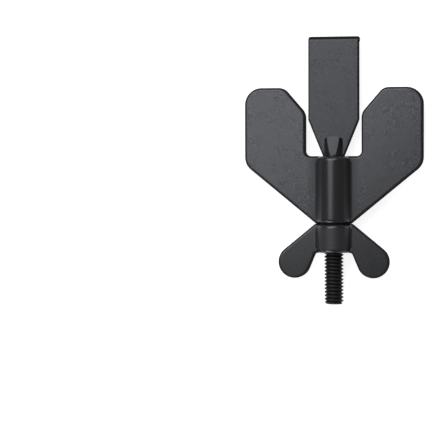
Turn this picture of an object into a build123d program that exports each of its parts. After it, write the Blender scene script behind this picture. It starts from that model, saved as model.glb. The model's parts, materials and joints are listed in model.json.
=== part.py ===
from build123d import *

import os
from math import cos, radians, sin, tan

# Portable door lock: a winged plate with a barrel, a hooked tongue on a threaded rod, and a wing nut.
# It lies flat. +Y runs along the rod to the hooked tip, +X to the right wing, +Z out of the wings' face.
# Lengths are in millimetres and angles in degrees. While the pieces are made, the rod's axis is the
# Y axis and y = 0 is the top end of the barrel. They are set down on z = 0 at the end.

# winged plate
wing_span = 64.7
lobe_height = 24.7
lobe_outer_radius = 6.1
lobe_inner_radius = 4.3
mouth_flare = 7.9
mouth_depth = 9.2
mouth_radius = 4.7
notch_corner_radius = 1.8
shoulder_drop = 3.1
shoulder_radius = 5.8
plate_thickness = 3.4
plate_edge_radius = 1.0

# barrel
barrel_diameter = 12.7
barrel_length = 24.4
barrel_end_radius = 1.7
barrel_web_radius = 1.1

# tongue
blade_width = 18.5
blade_thickness = 2.0
blade_edge_radius = 0.75
blade_reach = 43.1
blade_shoulder_height = 13.1
blade_shoulder_radius = 1.5
blade_root_width = 7.85
hook_height = 5.0
hook_corner_radius = 1.6
hook_bend_radius = 0.5
hook_lip_radius = 0.85
nose_reach = 7.2
nose_crown = 1.4
facet_slope = 6.3
facet_lead = 0.7
rod_diameter = 6.9
rod_tail = 18.5
rod_end_chamfer = 0.7
thread_length = 35.4
thread_pitch = 1.27
thread_depth = 0.74
thread_crest = 0.33
thread_root = 0.13

# wing nut
hub_diameter = 12.7
hub_length = 10.45
hub_end_radius = 1.5
hub_web_radius = 0.9
nut_tip_radius = 5.87
nut_tip_spread = 14.25
nut_tip_drop = 13.7
nut_upper_slope = 39.3
nut_inner_lean = 22.5
nut_fillet_radius = 1.1
nut_corner_radius = 0.8
nut_wing_thickness = 3.4
nut_edge_radius = 0.9

# clearances
notch_clearance = 0.85
barrel_clearance = 0.15
thread_clearance = 0.08
root_gap = 0.02
nut_gap = 0.05

# shares: the most that a rounding takes of a wall, a corner beside it or a lobe, and a cutter's reach
edge_share = 0.45
rim_share = 0.9
corner_share = 0.6
cutter_share = 1.5

# the web fillets stop this far short of the rounded ends
web_setback = 0.3

# places nearer than this are the same
same_place = 0.001

# worked out from the sizes above
half_span = wing_span / 2
barrel_radius = barrel_diameter / 2
hub_radius = hub_diameter / 2
rod_radius = rod_diameter / 2
notch_half = blade_width / 2 + notch_clearance
lobe_inner_x = notch_half + mouth_flare
mouth_y = lobe_height - mouth_depth
nut_top_y = -barrel_length - nut_gap
nut_bottom_y = nut_top_y - hub_length
rod_end_y = nut_bottom_y - rod_tail
hook_start_y = blade_reach - blade_thickness - hook_bend_radius - hook_corner_radius


def mirrored_outline(right_side):
    """Closed outline from the corners (x, y, radius) of its right half, listed from bottom to top."""
    left_side = [(-x, y, radius) for x, y, radius in reversed(right_side)]
    corners = right_side + left_side
    points = [(x, y) for x, y, radius in corners]
    return make_face(FilletPolyline(points, radius=[radius for x, y, radius in corners], close=True))


def rounded_slab(outline, thickness, edge_radius, square_y=None):
    """Outline made thick about z = 0, its face edges rounded, apart from those that lie at square_y."""
    slab = extrude(outline, thickness / 2, both=True)
    faces = slab.faces().sort_by(Axis.Z)
    rims = faces[0].edges() + faces[-1].edges()
    if square_y is not None:
        rims = [rim for rim in rims if abs(rim.center().Y - square_y) > edge_radius]
    return fillet(rims, min(edge_radius, edge_share * thickness))


def turned_boss(radius, low_y, high_y, end_radius):
    """Solid of revolution about the Y axis, with both end rims rounded."""
    profile = FilletPolyline(
        [(0, low_y), (radius, low_y), (radius, high_y), (0, high_y)],
        radius=[0, end_radius, end_radius, 0],
        close=True,
    )
    return revolve(make_face(profile), Axis.Y)


def web_fillets(outline, inset, radius, thickness, low_y, high_y, web_radius):
    """Concave fillets where a boss along Y stands out of a slab, kept within the slab's flat faces."""
    reach = 2 * (radius + web_radius)
    section = Circle(radius) + Rectangle(reach, thickness)
    inner = [v for v in section.vertices() if abs(v.X) < radius]
    section = fillet(inner, web_radius)
    along = Plane((0, low_y, 0), x_dir=(1, 0, 0), z_dir=(0, 1, 0))
    bar = extrude(along * section, high_y - low_y)
    return bar & extrude(offset(outline, -inset), radius, both=True)


def bore(radius, low_y, high_y):
    """Round hole along the Y axis."""
    along = Plane((0, low_y, 0), x_dir=(1, 0, 0), z_dir=(0, 1, 0))
    return extrude(along * Circle(radius), high_y - low_y)


def make_wing_plate():
    """One casting: two lobes either side of a notch, and the barrel that the rod runs in."""
    lobe_top = half_span - lobe_inner_x
    outline = mirrored_outline(
        [
            (barrel_radius, -barrel_length, 0),
            (half_span, -shoulder_drop, shoulder_radius),
            (half_span, lobe_height, min(lobe_outer_radius, corner_share * lobe_top)),
            (lobe_inner_x, lobe_height, min(lobe_inner_radius, corner_share * lobe_top)),
            (notch_half, mouth_y, mouth_radius),
            (notch_half, 0, notch_corner_radius),
        ]
    )
    slab = rounded_slab(outline, plate_thickness, plate_edge_radius)
    barrel = turned_boss(barrel_radius, -barrel_length, 0, barrel_end_radius)
    web = web_fillets(
        outline,
        plate_edge_radius,
        barrel_radius,
        plate_thickness,
        -barrel_length + barrel_end_radius + web_setback,
        -barrel_end_radius - web_setback,
        barrel_web_radius,
    )
    return slab + barrel + web - bore(rod_radius + barrel_clearance, -barrel_length, 0)


def make_wing_nut():
    """One casting: a round hub and two flat wings, each a paddle between two tangents of its round tip."""
    slope = radians(nut_upper_slope)
    lean = radians(nut_inner_lean)
    tip_y = nut_top_y - nut_tip_drop
    top_half = nut_tip_spread + (nut_tip_radius - nut_tip_drop * cos(slope)) / sin(slope)
    foot_half = nut_tip_spread - (nut_tip_radius + (nut_bottom_y - tip_y) * sin(lean)) / cos(lean)

    def on_tip(side, angle):
        return (side * (nut_tip_spread + nut_tip_radius * cos(angle)), tip_y + nut_tip_radius * sin(angle))

    upper_angle = radians(90) - slope
    inner_angle = lean - radians(180)
    middle_angle = (upper_angle + inner_angle) / 2
    sides = []
    for side in (1, -1):
        upper = on_tip(side, upper_angle)
        inner = on_tip(side, inner_angle)
        sides += [
            Line((side * top_half, nut_top_y), upper),
            ThreePointArc(upper, on_tip(side, middle_angle), inner),
            Line(inner, (side * foot_half, nut_bottom_y)),
        ]
    top = Line((-top_half, nut_top_y), (top_half, nut_top_y))
    foot = Line((-foot_half, nut_bottom_y), (foot_half, nut_bottom_y))
    outline = make_face([top, foot, *sides])
    feet = [v for v in outline.vertices() if abs(v.Y - nut_bottom_y) < same_place]
    outline = fillet(feet, nut_fillet_radius)
    corners = [v for v in outline.vertices() if abs(v.Y - nut_top_y) < same_place]
    outline = fillet(corners, nut_corner_radius)
    slab = rounded_slab(outline, nut_wing_thickness, nut_edge_radius)
    hub = turned_boss(hub_radius, nut_bottom_y, nut_top_y, hub_end_radius)
    web = web_fillets(
        outline,
        nut_edge_radius,
        hub_radius,
        nut_wing_thickness,
        nut_bottom_y + hub_end_radius + web_setback,
        nut_top_y - hub_end_radius - web_setback,
        hub_web_radius,
    )
    return slab + hub + web - bore(rod_radius + thread_clearance, nut_bottom_y, nut_top_y)


def make_tongue():
    """One forging: a flat blade with a hooked tip, a tapered root, and the round rod that is threaded."""
    half_width = blade_width / 2
    half_thick = blade_thickness / 2
    lip_radius = min(hook_lip_radius, edge_share * blade_thickness)
    edge_radius = min(blade_edge_radius, rim_share * lip_radius)
    outline = mirrored_outline(
        [
            (blade_root_width / 2, root_gap, 0),
            (half_width, blade_shoulder_height, blade_shoulder_radius),
            (half_width, hook_start_y, 0),
        ]
    )
    blade = rounded_slab(outline, blade_thickness, edge_radius, square_y=hook_start_y)

    # the hook is the strip's end, bent down at a right angle
    lip_z = half_thick - hook_height
    lip_y = blade_reach - blade_thickness
    strip = FilletPolyline(
        [
            (hook_start_y, half_thick),
            (blade_reach, half_thick),
            (blade_reach, lip_z),
            (lip_y, lip_z),
            (lip_y, -half_thick),
            (hook_start_y, -half_thick),
        ],
        radius=[0, hook_corner_radius, lip_radius, lip_radius, hook_bend_radius, 0],
        close=True,
    )
    hook = extrude(Plane.YZ * make_face(strip), half_width, both=True)
    ends = hook.faces().sort_by(Axis.X)
    rims = [rim for rim in ends[0].edges() + ends[-1].edges() if rim.center().Y > hook_start_y + same_place]
    hook = fillet(rims, edge_radius)
    return blade + hook + make_shank()


def thread_profile():
    """Radius and height along the threaded stretch, from the rod's end up, with one groove for each turn."""
    flank = (thread_pitch - thread_crest - thread_root) / 2
    root_radius = rod_radius - thread_depth
    points = []
    for turn in range(int((thread_length - rod_end_chamfer) / thread_pitch)):
        groove_y = rod_end_y + rod_end_chamfer + thread_pitch * (turn + 0.5)
        points += [
            (rod_radius, groove_y - thread_root / 2 - flank),
            (root_radius, groove_y - thread_root / 2),
            (root_radius, groove_y + thread_root / 2),
            (rod_radius, groove_y + thread_root / 2 + flank),
        ]
    return points


def make_shank():
    """Round rod with its thread, and its blunt nose on the blade with a sloping facet on each face."""
    profile = Polyline(
        (0, nose_reach),
        (0, rod_end_y),
        (rod_radius - rod_end_chamfer, rod_end_y),
        (rod_radius, rod_end_y + rod_end_chamfer),
        *thread_profile(),
        (rod_radius, nose_reach),
        close=True,
    )
    shank = revolve(make_face(profile), Axis.Y)

    # the nose ends in a shallow round crown
    beside = cutter_share * rod_radius
    beyond = nose_reach + rod_radius
    crown_y = nose_reach - nose_crown * (beside / rod_radius) ** 2
    past_crown = make_face(
        [
            ThreePointArc((-beside, crown_y), (0, nose_reach), (beside, crown_y)),
            Polyline((beside, crown_y), (beside, beyond), (-beside, beyond), (-beside, crown_y)),
        ]
    )
    shank -= extrude(past_crown, beside, both=True)

    # each facet starts inside the barrel and sinks towards the blade
    drop = (beyond + facet_lead) * tan(radians(facet_slope))
    above_facet = make_face(
        Polyline(
            (-facet_lead, rod_radius),
            (beyond, rod_radius - drop),
            (beyond, beside),
            (-facet_lead, beside),
            close=True,
        )
    )
    facet_cut = extrude(Plane.YZ * above_facet, beside, both=True)
    return shank - facet_cut - mirror(facet_cut, about=Plane.XY)


# the finished pieces lie on z = 0, with the origin under the middle of their box
set_down = Pos(0, -(blade_reach + rod_end_y) / 2, max(barrel_radius, hub_radius))
nodes = {
    "wing_plate": make_wing_plate(),
    "wing_nut": make_wing_nut(),
    "tongue": make_tongue(),
}

os.makedirs("parts", exist_ok=True)
for name, solid in nodes.items():
    export_step(set_down * solid, f"parts/{name}.step")
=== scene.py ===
import json
from math import cos, floor, pi, radians, sin, tan

import bmesh
import bpy
from mathutils import Matrix, Vector


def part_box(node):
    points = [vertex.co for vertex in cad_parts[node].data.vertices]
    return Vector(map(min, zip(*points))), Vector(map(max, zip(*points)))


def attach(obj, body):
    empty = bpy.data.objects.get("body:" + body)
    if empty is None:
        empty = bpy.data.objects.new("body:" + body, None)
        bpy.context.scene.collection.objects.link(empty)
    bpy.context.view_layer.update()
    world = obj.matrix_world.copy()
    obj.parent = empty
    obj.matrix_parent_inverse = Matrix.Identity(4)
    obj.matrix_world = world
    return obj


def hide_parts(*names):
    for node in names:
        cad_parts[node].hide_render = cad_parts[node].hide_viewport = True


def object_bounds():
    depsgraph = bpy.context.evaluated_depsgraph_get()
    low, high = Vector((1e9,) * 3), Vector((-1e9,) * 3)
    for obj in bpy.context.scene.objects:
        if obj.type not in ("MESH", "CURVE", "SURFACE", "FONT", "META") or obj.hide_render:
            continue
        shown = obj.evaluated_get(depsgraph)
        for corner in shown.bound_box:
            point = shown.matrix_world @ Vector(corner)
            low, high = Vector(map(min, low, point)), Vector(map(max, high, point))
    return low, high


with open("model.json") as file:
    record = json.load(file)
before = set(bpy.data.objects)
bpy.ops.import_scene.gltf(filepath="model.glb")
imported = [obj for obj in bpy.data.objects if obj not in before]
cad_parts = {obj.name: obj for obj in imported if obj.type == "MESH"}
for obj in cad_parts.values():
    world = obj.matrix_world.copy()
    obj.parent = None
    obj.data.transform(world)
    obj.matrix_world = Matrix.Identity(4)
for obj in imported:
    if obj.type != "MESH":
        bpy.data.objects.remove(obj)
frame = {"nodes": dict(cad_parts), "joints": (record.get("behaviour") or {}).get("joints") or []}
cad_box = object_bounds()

# A portable door lock: two castings and a forging in black powder coat, on a plain white floor.
# Lengths are in metres and angles in degrees. The rod's axis is the line x = 0, z = axis_height.

# what the frame gives
axis_height = frame["joints"][0]["pos_m"][2]
rod_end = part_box("tongue")[0].y
barrel_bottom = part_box("wing_plate")[0].y
hub_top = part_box("wing_nut")[1].y

# the two round bosses: where each begins and ends along the rod
barrel_length = 0.02440
hub_length = 0.01045
barrel_span = (barrel_bottom, barrel_bottom + barrel_length)
hub_span = (hub_top - hub_length, hub_top)

# thread: a quarter-inch coarse one, coated, with its crest at the rod's own radius
# the flats are shares of the pitch, and the grid starts some turns below the rod's end
rod_radius = 0.00345
rod_end_chamfer = 0.0007
thread_pitch = 0.00127
thread_depth = 0.00074
crest_flat = 0.26
root_flat = 0.10
root_phase = 0.5
thread_length = 0.0354
runout_turns = 2.0
steps_round_thread = 72
steps_along_pitch = 14
turns_below_end = 1.5
spare_turns = 3
joint_overlap = 0.0003
weld_distance = 1e-7
sliver_width = 2e-6
sharp_angle = 14

# where the photo shows the object: the middle of its box is at this pixel
image_side = 448
sensor_width = 36.0
pixel_size = 0.00036074
middle_pixel = (333.9, 170.4)
camera_distance = 0.7
axis_tilt_right = 10.28
axis_tilt_down = -1.78
camera_roll = -0.16

# light: a round softbox up and to the left, a broad panel past the hooked tip, a low strip past the
# rod's end, and a dim room
softbox_distance = 0.66
softbox_left = 16.8
softbox_up = 15.9
softbox_diameter = 0.486
softbox_power = 1.9
panel_distance = 0.8
panel_left = 12.0
panel_up = 42.0
panel_size = (0.80, 0.50)
panel_power = 4.2
strip_distance = 0.8
strip_left = 42.0
strip_up = -62.0
strip_size = (0.50, 0.16)
strip_power = 2.4
room_level = 0.20

# floor
floor_radius = 2.5
floor_segments = 96
floor_colour = (0.42, 0.42, 0.42)
floor_rough = 0.9
floor_lift = 0.86

# powder coat: its black, its fine grain, the clouds in which the grain shows, and the light flakes in it
coat_dark = (0.0090, 0.0092, 0.0100)
coat_light = (0.0150, 0.0152, 0.0165)
coat_tint = (0.90, 0.92, 1.00)
grain_size = 0.00033
grain_middle = 0.5
grain_range = (0.3, 0.7)
noise_detail = 2.0
cloud_size = 0.0060
cloud_range = (0.38, 0.62)
cloud_share = 0.50
calm_colour = (0.0140, 0.0137, 0.0135)
calm_share = 0.7
flake_colour = (0.0600, 0.0620, 0.0720)
flake_range = (0.56, 0.66)
pit_range = (0.43, 0.35)

# finish of each piece: roughness on the faces, in the pits, on a boss's flank and on its crown, the
# grain's height, the gloss, the share of flakes, half the flat part's thickness, and where its boss lies
wing_finish = {
    "rough": 0.20, "pit_rough": 0.68, "flank_rough": 0.60, "crown_rough": 0.25, "grain": 0.000020,
    "specular": 0.46, "flakes": 1.0, "half": 0.00170, "boss": barrel_span, "calm_boss": True,
}
blade_finish = {
    "rough": 0.26, "pit_rough": 0.68, "flank_rough": 0.29, "crown_rough": 0.29, "grain": 0.000020,
    "specular": 0.38, "flakes": 1.0, "half": 0.00100, "boss": None, "calm_boss": False,
}
nut_finish = {
    "rough": 0.19, "pit_rough": 0.36, "flank_rough": 0.50, "crown_rough": 0.52, "grain": 0.000009,
    "specular": 0.47, "flakes": 0.2, "half": 0.00170, "boss": hub_span, "calm_boss": False,
}

# heights over the flat faces at which a boss's flank and crown begin
flank_start = 0.0001
flank_full = 0.0005
crown_start = 0.0024
crown_full = 0.0036

# sides of the flat parts: dull, and painted darker as shade along the outline, from just below the faces
painted_side_shade = (0.0030, 0.0030, 0.0033)
side_rough = 1.0
side_start = 0.00003
side_full = 0.00013

# barrel: a calmer grain near the axis, a dull corner beside it, and glossier rims at a boss's ends
smooth_half_width = 0.0075
smooth_fade = 0.0020
smooth_share = 0.25
corner_start = 0.0066
corner_end = 0.0096
corner_rough = 0.48
rim_start = 0.0017
rim_full = 0.0011
rim_rough = 0.22

# coat on the thread: worn crests over dull roots, the roots painted darker as shade
root_shade_colour = (0.0015, 0.0015, 0.0017)
crest_colour = (0.0090, 0.0090, 0.0100)
root_rough = 0.70
crest_rough = 0.42
thread_specular = 0.32


def new_material(name):
    """Node material: itself, its node tree and its Principled shader."""
    material = bpy.data.materials.new(name)
    material.use_nodes = True
    tree = material.node_tree
    return material, tree, tree.nodes["Principled BSDF"]


def feed(tree, socket, source):
    """Links a socket to what another node gives, or sets it to a fixed value."""
    if isinstance(source, bpy.types.NodeSocket):
        tree.links.new(source, socket)
    else:
        socket.default_value = source


def opaque(colour):
    """Colour with full alpha."""
    return (*colour, 1)


def place_in_object(tree):
    """The point's place in the object's own space."""
    return tree.nodes.new("ShaderNodeTexCoord").outputs["Object"]


def noise(tree, feature_size):
    """Noise in the object's own space, with features about feature_size across."""
    node = tree.nodes.new("ShaderNodeTexNoise")
    node.inputs["Scale"].default_value = 1 / feature_size
    node.inputs["Detail"].default_value = noise_detail
    feed(tree, node.inputs["Vector"], place_in_object(tree))
    return node.outputs["Fac"]


def remap(tree, value, source, target=(0.0, 1.0)):
    """A value's range, clamped and stretched from the source pair to the target pair."""
    node = tree.nodes.new("ShaderNodeMapRange")
    node.inputs["From Min"].default_value = source[0]
    node.inputs["From Max"].default_value = source[1]
    node.inputs["To Min"].default_value = target[0]
    node.inputs["To Max"].default_value = target[1]
    feed(tree, node.inputs["Value"], value)
    return node.outputs["Result"]


def blend(tree, kind, factor, first, second):
    """Blend of two values (FLOAT) or two colours (RGBA), each fixed or given by another node."""
    node = tree.nodes.new("ShaderNodeMix")
    node.data_type = kind
    feed(tree, node.inputs["Factor"], factor)
    feed(tree, node.inputs["A"], first)
    feed(tree, node.inputs["B"], second)
    return node.outputs["Result"]


def calculate(tree, operation, *sources):
    """Result of a Math node, from one or two values."""
    node = tree.nodes.new("ShaderNodeMath")
    node.operation = operation
    for index, source in enumerate(sources):
        feed(tree, node.inputs[index], source)
    return node.outputs["Value"]


def away_from(tree, axis, middle):
    """How far a point lies from a middle value along one axis, either way."""
    parts = tree.nodes.new("ShaderNodeSeparateXYZ")
    feed(tree, parts.inputs["Vector"], place_in_object(tree))
    return calculate(tree, "ABSOLUTE", calculate(tree, "SUBTRACT", parts.outputs[axis], middle))


def set_gloss(shader, level):
    """Constant gloss of the coat, with its cool tint."""
    shader.inputs["Specular IOR Level"].default_value = level
    shader.inputs["Specular Tint"].default_value = opaque(coat_tint)


def powder_coat(name, finish):
    """Satin black powder coat: a fine grain in colour and height, duller in its pits and on the sides,
    painted darker there as shade.
    """
    material, tree, shader = new_material(name)
    cloud = noise(tree, cloud_size)
    aside = away_from(tree, "X", 0.0)
    grain_share = remap(tree, cloud, cloud_range, (cloud_share, 1.0))
    grain = blend(tree, "FLOAT", grain_share, grain_middle, noise(tree, grain_size))
    if finish["calm_boss"]:
        boss_edge = (smooth_half_width - smooth_fade, smooth_half_width)
        boss_share = remap(tree, aside, boss_edge, (smooth_share, 1.0))
        grain = blend(tree, "FLOAT", boss_share, grain_middle, grain)

    height = away_from(tree, "Z", axis_height)
    half = finish["half"]
    on_side = remap(tree, height, (half - side_start, half - side_full))
    on_flank = remap(tree, height, (half + flank_start, half + flank_full))
    on_crown = remap(tree, height, (half + crown_start, half + crown_full))

    colour = blend(tree, "RGBA", remap(tree, grain, grain_range), opaque(coat_dark), opaque(coat_light))
    calm = remap(tree, cloud, cloud_range, (calm_share, 0.0))
    colour = blend(tree, "RGBA", calm, colour, opaque(calm_colour))
    flakes = remap(tree, grain, flake_range, (0.0, finish["flakes"]))
    colour = blend(tree, "RGBA", flakes, colour, opaque(flake_colour))
    # painted shade: the sides of the flat parts turn darker, so the outline reads dark
    colour = blend(tree, "RGBA", on_side, colour, opaque(painted_side_shade))
    feed(tree, shader.inputs["Base Color"], colour)

    rough = remap(tree, grain, pit_range, (finish["rough"], finish["pit_rough"]))
    if finish["calm_boss"]:
        in_corner = remap(tree, aside, (corner_end, corner_start))
        rough = blend(tree, "FLOAT", in_corner, rough, corner_rough)
    rough = blend(tree, "FLOAT", on_flank, rough, finish["flank_rough"])
    rough = blend(tree, "FLOAT", on_crown, rough, finish["crown_rough"])
    if finish["boss"] is not None:
        low, high = finish["boss"]
        half_length = (high - low) / 2
        along = away_from(tree, "Y", (low + high) / 2)
        at_end = remap(tree, along, (half_length - rim_start, half_length - rim_full))
        on_rim = calculate(tree, "MULTIPLY", on_flank, at_end)
        rough = blend(tree, "FLOAT", on_rim, rough, rim_rough)
    rough = blend(tree, "FLOAT", on_side, rough, side_rough)
    feed(tree, shader.inputs["Roughness"], rough)

    bump = tree.nodes.new("ShaderNodeBump")
    bump.inputs["Strength"].default_value = 1.0
    bump.inputs["Distance"].default_value = finish["grain"]
    feed(tree, bump.inputs["Height"], grain)
    feed(tree, shader.inputs["Normal"], bump.outputs["Normal"])
    set_gloss(shader, finish["specular"])
    return material


def thread_coat(name):
    """The same black on the thread, dull in the roots and painted darker there as shade, worn smoother on
    the crests.
    """
    material, tree, shader = new_material(name)
    from_axis = tree.nodes.new("ShaderNodeVectorMath")
    from_axis.operation = "MULTIPLY_ADD"
    from_axis.inputs[1].default_value = (1, 0, 1)
    from_axis.inputs[2].default_value = (0, 0, -axis_height)
    feed(tree, from_axis.inputs[0], place_in_object(tree))
    radius = tree.nodes.new("ShaderNodeVectorMath")
    radius.operation = "LENGTH"
    feed(tree, radius.inputs[0], from_axis.outputs["Vector"])
    crest_wear_and_root_shade = remap(tree, radius.outputs["Value"], (rod_radius - thread_depth, rod_radius))
    # painted shade darkens the thread's roots; the crests are worn
    colour = blend(tree, "RGBA", crest_wear_and_root_shade, opaque(root_shade_colour), opaque(crest_colour))
    feed(tree, shader.inputs["Base Color"], colour)
    feed(tree, shader.inputs["Roughness"], remap(tree, crest_wear_and_root_shade, (0.0, 1.0), (root_rough, crest_rough)))
    set_gloss(shader, thread_specular)
    return material


def white_floor(name):
    """Pale floor that takes shadows, lifted to white for the camera and for what mirrors it."""
    material, tree, shader = new_material(name)
    shader.inputs["Roughness"].default_value = floor_rough
    shader.inputs["Specular IOR Level"].default_value = 0.0
    shader.inputs["Base Color"].default_value = opaque(floor_colour)
    path = tree.nodes.new("ShaderNodeLightPath")
    seen = path.outputs["Is Camera Ray"]
    for ray in ("Is Glossy Ray", "Is Transmission Ray"):
        seen = calculate(tree, "MAXIMUM", seen, path.outputs[ray])
    shader.inputs["Emission Color"].default_value = (1, 1, 1, 1)
    feed(tree, shader.inputs["Emission Strength"], calculate(tree, "MULTIPLY", seen, floor_lift))
    return material


def mesh_object(name, bm):
    """Object made from a bmesh, linked to the scene."""
    mesh = bpy.data.meshes.new(name)
    bm.to_mesh(mesh)
    bm.free()
    obj = bpy.data.objects.new(name, mesh)
    bpy.context.scene.collection.objects.link(obj)
    return obj


def smooth_by_angle(obj, angle):
    """Smooth shading that keeps flat faces flat and edges sharper than the angle sharp."""
    stored = obj.data.attributes.get("custom_normal")
    if stored is not None:
        obj.data.attributes.remove(stored)
    obj.data.shade_smooth()
    obj.data.set_sharp_from_angle(angle=radians(angle))
    weighted = obj.modifiers.new("weighted_normals", "WEIGHTED_NORMAL")
    weighted.keep_sharp = True


def thread_radius(y, turn):
    """Radius of the threaded rod at a height and a share of a turn, with its chamfer and its runout."""
    phase = y / thread_pitch - turn
    phase = phase - floor(phase)
    flank = (1 - crest_flat - root_flat) / 2
    from_root = abs(phase - root_phase)
    rise = min(max((from_root - root_flat / 2) / flank, 0.0), 1.0)
    to_top = (rod_end + thread_length - y) / (runout_turns * thread_pitch)
    depth = thread_depth * min(max(to_top, 0.0), 1.0)
    chamfer = rod_radius - rod_end_chamfer + max(y - rod_end, 0.0)
    return min(rod_radius - depth * (1 - rise), chamfer)


def cut_square(bm, height, direction):
    """Cuts away what lies past a height along Y, and closes the cut."""
    cut = bmesh.ops.bisect_plane(
        bm,
        geom=bm.verts[:] + bm.edges[:] + bm.faces[:],
        plane_co=(0, height, 0),
        plane_no=(0, direction, 0),
        clear_outer=True,
    )
    rim = [item for item in cut["geom_cut"] if isinstance(item, bmesh.types.BMEdge)]
    bmesh.ops.contextual_create(bm, geom=rim)


def threaded_rod(bm, top):
    """Closed rod from its end up to the given height. The grid follows the helix, so crests stay clean."""
    rows = int((top - rod_end) / thread_pitch + spare_turns) * steps_along_pitch
    grid = []
    for row in range(rows):
        ring = []
        for step in range(steps_round_thread):
            turn = step / steps_round_thread
            y = rod_end + thread_pitch * (row / steps_along_pitch + turn - turns_below_end)
            radius = thread_radius(y, turn)
            angle = 2 * pi * turn
            ring.append(bm.verts.new((radius * cos(angle), y, axis_height + radius * sin(angle))))
        grid.append(ring)
    for row in range(rows - 1):
        for step in range(steps_round_thread):
            closes = step + 1 == steps_round_thread
            next_row = row + steps_along_pitch if closes else row
            next_step = 0 if closes else step + 1
            if next_row + 1 < rows:
                low = (grid[row][step], grid[next_row][next_step])
                high = (grid[next_row + 1][next_step], grid[row + 1][step])
                bm.faces.new(low + high)
    cut_square(bm, rod_end, -1)
    cut_square(bm, top, 1)


def make_tongue():
    """The tongue as the frame has it, with a real thread on its rod in a finish of its own."""
    split = rod_end + thread_length
    tongue = bmesh.new()
    tongue.from_mesh(frame["nodes"]["tongue"].data)
    bmesh.ops.remove_doubles(tongue, verts=tongue.verts[:], dist=weld_distance)
    cut_square(tongue, split, -1)
    bmesh.ops.dissolve_degenerate(tongue, dist=sliver_width, edges=tongue.edges[:])
    blade_faces = len(tongue.faces)

    rod = bmesh.new()
    threaded_rod(rod, split + joint_overlap)
    bmesh.ops.dissolve_degenerate(rod, dist=sliver_width, edges=rod.edges[:])
    rod_mesh = bpy.data.meshes.new("rod")
    rod.to_mesh(rod_mesh)
    rod.free()
    tongue.from_mesh(rod_mesh)
    bpy.data.meshes.remove(rod_mesh)
    bmesh.ops.recalc_face_normals(tongue, faces=tongue.faces[:])
    for index, face in enumerate(tongue.faces):
        face.material_index = 0 if index < blade_faces else 1
    obj = mesh_object("threaded_tongue", tongue)
    smooth_by_angle(obj, sharp_angle)
    return obj


def place_camera():
    """Camera that sees the middle of the object at its pixel in the photo, with no shift."""
    middle = (Vector(cad_box[0]) + Vector(cad_box[1])) / 2
    back = Vector((tan(radians(axis_tilt_right)), -tan(radians(axis_tilt_down)), 1)).normalized()
    level_x = Vector((0, 1, 0)).cross(back).normalized()
    level_y = back.cross(level_x)
    roll = radians(camera_roll)
    x_axis = level_x * cos(roll) + level_y * sin(roll)
    y_axis = level_y * cos(roll) - level_x * sin(roll)
    right = (middle_pixel[0] - image_side / 2) * pixel_size
    up = (image_side / 2 - middle_pixel[1]) * pixel_size
    data = bpy.data.cameras.new("camera")
    data.sensor_width = sensor_width
    data.lens = sensor_width * camera_distance / (image_side * pixel_size)
    camera = bpy.data.objects.new("camera", data)
    bpy.context.scene.collection.objects.link(camera)
    place = middle + back * camera_distance - x_axis * right - y_axis * up
    turned = Matrix((x_axis, y_axis, back)).transposed().to_4x4()
    camera.matrix_world = Matrix.Translation(place) @ turned
    bpy.context.scene.camera = camera


def add_lamp(name, distance, left, up, shape, size, power):
    """Area lamp at an angle left of and above the vertical, facing the object."""
    towards = Vector((-tan(radians(left)), tan(radians(up)), 1)).normalized()
    data = bpy.data.lights.new(name, "AREA")
    data.shape = shape
    data.size = size[0]
    data.size_y = size[1]
    data.energy = power
    lamp = bpy.data.objects.new(name, data)
    lamp.location = towards * distance
    lamp.rotation_mode = "QUATERNION"
    lamp.rotation_quaternion = towards.to_track_quat("Z", "Y")
    bpy.context.scene.collection.objects.link(lamp)


def place_lights():
    """Round softbox, a panel for the upper rims, a strip for the lower ones, and a dim even room."""
    disk = (softbox_diameter, softbox_diameter)
    add_lamp("softbox", softbox_distance, softbox_left, softbox_up, "DISK", disk, softbox_power)
    add_lamp("panel", panel_distance, panel_left, panel_up, "RECTANGLE", panel_size, panel_power)
    add_lamp("strip", strip_distance, strip_left, strip_up, "RECTANGLE", strip_size, strip_power)
    world = bpy.data.worlds.new("room")
    world.use_nodes = True
    background = world.node_tree.nodes["Background"]
    background.inputs["Color"].default_value = (1, 1, 1, 1)
    background.inputs["Strength"].default_value = room_level
    bpy.context.scene.world = world


def make_floor():
    """Round floor under the object."""
    bm = bmesh.new()
    bmesh.ops.create_circle(bm, cap_ends=True, radius=floor_radius, segments=floor_segments)
    plane = mesh_object("floor", bm)
    plane.data.materials.append(white_floor("white_floor"))


bpy.context.scene.view_settings.view_transform = "Standard"
frame["nodes"]["wing_plate"].material_slots[0].material = powder_coat("powder_coat_plate", wing_finish)
frame["nodes"]["wing_nut"].material_slots[0].material = powder_coat("powder_coat_nut", nut_finish)

tongue = make_tongue()
tongue.data.materials.append(powder_coat("powder_coat_blade", blade_finish))
tongue.data.materials.append(thread_coat("powder_coat_thread"))
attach(tongue, "tongue")
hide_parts("tongue")

make_floor()
place_lights()
place_camera()
